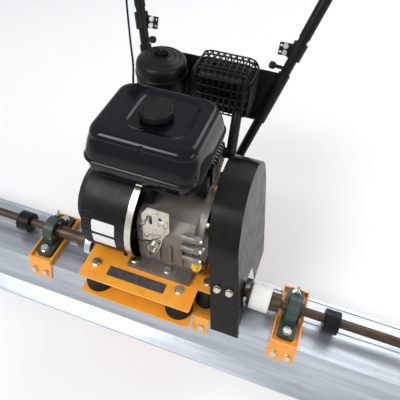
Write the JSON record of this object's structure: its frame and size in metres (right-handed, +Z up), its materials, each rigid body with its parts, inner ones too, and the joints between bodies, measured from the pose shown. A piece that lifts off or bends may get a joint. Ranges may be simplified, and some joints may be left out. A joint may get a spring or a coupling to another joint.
{
  "type": "power screed",
  "caption": "Engine-driven vibrating screed: long hollow beam with a shaft of eccentric weights, belt drive, spring-mounted engine and splayed handles",
  "frame": {"origin": "middle of the flat underside of the beam", "axes": "+X along the beam towards the belt guard, +Y back towards the operator, +Z up"},
  "size_m": [2.01, 0.9105, 0.936],
  "materials": {
    "bare_aluminium": "extruded, lightly brushed",
    "orange_paint": "worn gloss paint",
    "black_paint": "satin powder coat",
    "cast_grey": "cast, green paint",
    "zinc": "zinc plated",
    "dark_shaft": "oxidised steel",
    "black_rubber": "matt",
    "black_plastic": "moulded",
    "white_nylon": "turned",
    "cast_alloy": "as cast",
    "engine_black": "gloss paint",
    "guard_black": "folded sheet, satin paint",
    "yellow_plastic": "moulded",
    "green_metal": "capped nipple",
    "tank_white": "blank plate",
    "shroud_red": "gloss paint"
  },
  "bodies": {
    "root": {"air_cleaner_base": "black_plastic", "air_cleaner_cover": "black_plastic", "beam_extrusion": "bare_aluminium", "bearing_brackets": "orange_paint", "bearing_inserts": "zinc", "belt_guard": "guard_black", "blank_plates": "tank_white", "bracket_bolts": "zinc", "carburettor": "cast_alloy", "control_plate": "zinc", "crankcase": "cast_alloy", "cross_plate": "black_paint", "cylinder_barrel": "cast_alloy", "cylinder_head": "cast_alloy", "drive_belt": "black_rubber", "end_caps": "black_plastic", "engine_plate": "orange_paint", "fan_shroud": "engine_black", "fuel_tank": "engine_black", "grease_nipples": "green_metal", "handle_clamps": "black_paint", "handle_crossbar": "black_paint", "handle_grips": "black_rubber", "handle_legs": "black_paint", "handlebars": "black_paint", "lower_frame_plate": "orange_paint", "mounting_stays": "black_paint", "muffler": "black_paint", "muffler_cage": "guard_black", "oil_filler_neck": "black_plastic", "outboard_bracket": "orange_paint", "pillow_housings": "cast_grey", "recoil_cover": "engine_black", "rocker_cover": "engine_black", "rubber_mounts": "black_rubber", "shroud_strap": "zinc", "side_cover": "cast_alloy", "spark_plug": "black_plastic", "throttle_cable": "black_plastic", "throttle_lever_mount": "black_plastic", "zinc_bolts": "zinc"},
    "vibrator": {"vibrator_shafts": "dark_shaft", "eccentric_weights": "guard_black", "coupling_hubs": "dark_shaft", "coupling_disc_left": "bare_aluminium", "coupling_disc_right": "white_nylon", "bearing_lock_collars": "dark_shaft", "driven_pulley": "guard_black"},
    "crank": {"crankshaft": "dark_shaft", "flywheel": "cast_alloy", "clutch_pulley": "guard_black"},
    "hand_lever": {"throttle_hand_lever": "black_plastic"},
    "engine_lever": {"engine_control_lever": "engine_black"},
    "choke": {"choke_lever": "black_plastic"},
    "fuel_cock": {"fuel_cock_lever": "black_plastic"},
    "switch": {"stop_switch": "shroud_red"},
    "starter_grip": {"recoil_grip": "black_plastic"},
    "cap": {"fuel_cap": "black_plastic"},
    "plug": {"oil_plug": "yellow_plastic"},
    "nut": {"wing_nut": "black_plastic"}
  },
  "joints": [
    {"name": "crank_spin", "type": "hinge", "parent": "root", "child": "crank", "pos_m": [0, 0.046, 0.291], "axis": [1, 0, 0], "continuous": true},
    {"name": "vibrator_spin", "type": "hinge", "parent": "root", "child": "vibrator", "pos_m": [0, 0.005, 0.1473], "axis": [1, 0, 0], "continuous": true},
    {"name": "hand_lever_swing", "type": "hinge", "parent": "root", "child": "hand_lever", "pos_m": [-0.2895, 0.54961, 0.83938], "axis": [-1, 0, 0], "range_deg": [0, 50]},
    {"name": "engine_lever_swing", "type": "hinge", "parent": "root", "child": "engine_lever", "pos_m": [-0.026, 0.2, 0.394], "axis": [0, 0, 1], "range_deg": [0, 40]},
    {"name": "choke_swing", "type": "hinge", "parent": "root", "child": "choke", "pos_m": [-0.004, 0.23, 0.387], "axis": [1, 0, 0], "range_deg": [0, 60]},
    {"name": "fuel_cock_turn", "type": "hinge", "parent": "root", "child": "fuel_cock", "pos_m": [-0.026, 0.238, 0.34], "axis": [0, -1, 0], "range_deg": [0, 90]},
    {"name": "stop_switch_turn", "type": "hinge", "parent": "root", "child": "switch", "pos_m": [0.02, 0.125, 0.236], "axis": [0, 1, 0], "range_deg": [0, 60]},
    {"name": "fuel_cap_turn", "type": "hinge", "parent": "root", "child": "cap", "pos_m": [-0.011, 0.088, 0.515], "axis": [0, 0, 1], "range_deg": [0, 90]},
    {"name": "oil_plug_turn", "type": "hinge", "parent": "root", "child": "plug", "pos_m": [0.1175, -0.0275, 0.2415], "axis": [0, -0.7071, 0.7071], "continuous": true},
    {"name": "wing_nut_turn", "type": "hinge", "parent": "root", "child": "nut", "pos_m": [-0.09, 0.296, 0.499], "axis": [0, 0, 1], "continuous": true},
    {"name": "starter_pull", "type": "slide", "parent": "root", "child": "starter_grip", "axis": [0, 1, 0], "range_m": [0, 0.6], "stiffness_N_per_m": 12, "springref_m": -0.4}
  ],
  "couplings": [
    {"joint": "vibrator_spin", "follows": "crank_spin", "ratio": 1.477},
    {"joint": "engine_lever_swing", "follows": "hand_lever_swing", "ratio": 0.8}
  ]
}
